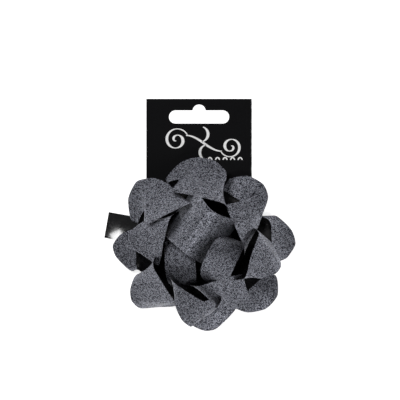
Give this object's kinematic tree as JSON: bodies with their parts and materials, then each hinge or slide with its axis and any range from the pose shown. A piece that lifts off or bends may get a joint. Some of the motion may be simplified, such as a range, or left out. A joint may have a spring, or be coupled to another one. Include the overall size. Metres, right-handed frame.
{
  "type": "gift bow",
  "caption": "Pre-made ribbon gift bow with rounded loops in tiers, riveted to an adhesive base, on a hang card.",
  "frame": {"origin": "the bow's axis at the back face of the hang card", "axes": "+Z out of the card's front through the bow, +Y towards the hang slot, +X to the right"},
  "size_m": [0.1014, 0.1225, 0.0455],
  "materials": {
    "card": "matte printed card",
    "liner": "glossy silicone-coated film",
    "foam": "soft white foam tape",
    "board": "dark board",
    "pin": "moulded plastic rivet",
    "ribbon": "fine charcoal glitter with a black back"
  },
  "bodies": {
    "card": {"hang_card": "card"},
    "bow": {"foam_pad": "foam", "base_disc": "board", "centre_pin": "pin", "outer_loop_1": "ribbon", "outer_loop_2": "ribbon", "outer_loop_3": "ribbon", "outer_loop_4": "ribbon", "outer_loop_5": "ribbon", "outer_loop_6": "ribbon", "outer_loop_7": "ribbon", "outer_loop_8": "ribbon", "upper_loop_1": "ribbon", "upper_loop_2": "ribbon", "centre_loop_1": "ribbon", "centre_loop_2": "ribbon", "crown_loop": "ribbon"},
    "liner": {"release_liner": "liner"}
  },
  "joints": [
    {"name": "bow_lift", "type": "slide", "parent": "card", "child": "bow", "axis": [0, 0, 1], "range_m": [0, 0.06]},
    {"name": "liner_pull", "type": "slide", "parent": "bow", "child": "liner", "axis": [-0.9848, 0.1736, 0], "range_m": [0, 0.07]}
  ]
}
